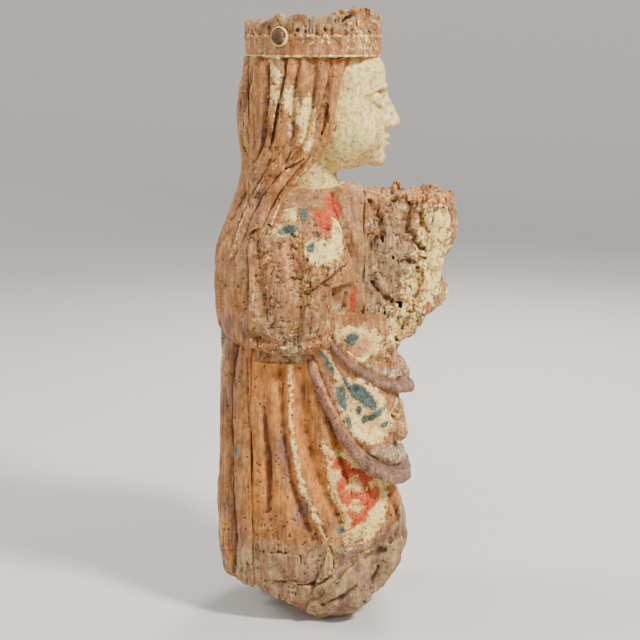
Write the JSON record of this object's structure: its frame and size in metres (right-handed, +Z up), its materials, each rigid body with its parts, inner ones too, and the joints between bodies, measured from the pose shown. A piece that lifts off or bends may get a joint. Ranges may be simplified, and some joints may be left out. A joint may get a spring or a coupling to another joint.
{
  "type": "carved wooden madonna statue",
  "caption": "Carved and painted wooden figure of a crowned Madonna with a broken child, worn and worm eaten, built up from glued and pegged blocks.",
  "frame": {"origin": "middle of the flat underside that the statue stands on", "axes": "+Z up along the figure, the figure faces -Y, its right arm is at -X and its left arm at +X"},
  "size_m": [0.1958, 0.2609, 0.65],
  "materials": {
    "bare_wood": "worn bare lime wood with pinholes",
    "painted_skirt": "orange-brown wood with flaking red paint",
    "painted_mantle": "worn wood with remains of blue and red paint on gesso",
    "weathered_wood": "grey-brown weathered wood",
    "broken_wood": "broken and worm-eaten wood",
    "flesh_paint": "aged ivory paint over gesso",
    "crown_wood": "worn carved wood",
    "boss_wood": "dark painted peg head",
    "gesso": "chalky cream ground",
    "peg_wood": "plain turned pegs"
  },
  "bodies": {
    "root": {"body_block": "painted_skirt", "back_board": "bare_wood", "head_block": "flesh_paint", "crown_front": "crown_wood", "crown_back": "crown_wood", "crown_boss": "boss_wood", "crown_boss_collar": "gesso", "right_arm_block": "painted_mantle", "left_arm_block": "painted_mantle", "child_block": "broken_wood", "mantle_fold_upper": "painted_mantle", "mantle_fold_lower": "painted_mantle", "left_mantle_fall": "painted_mantle", "hem_block": "weathered_wood", "base_patch": "weathered_wood", "corner_patch": "weathered_wood", "neck_dowel": "peg_wood", "back_board_pegs": "peg_wood", "right_arm_dowels": "peg_wood", "left_arm_dowels": "peg_wood", "child_dowels": "peg_wood", "fold_pegs": "peg_wood", "left_fall_pegs": "peg_wood", "hem_dowels": "peg_wood", "crown_pegs": "peg_wood"}
  },
  "joints": []
}
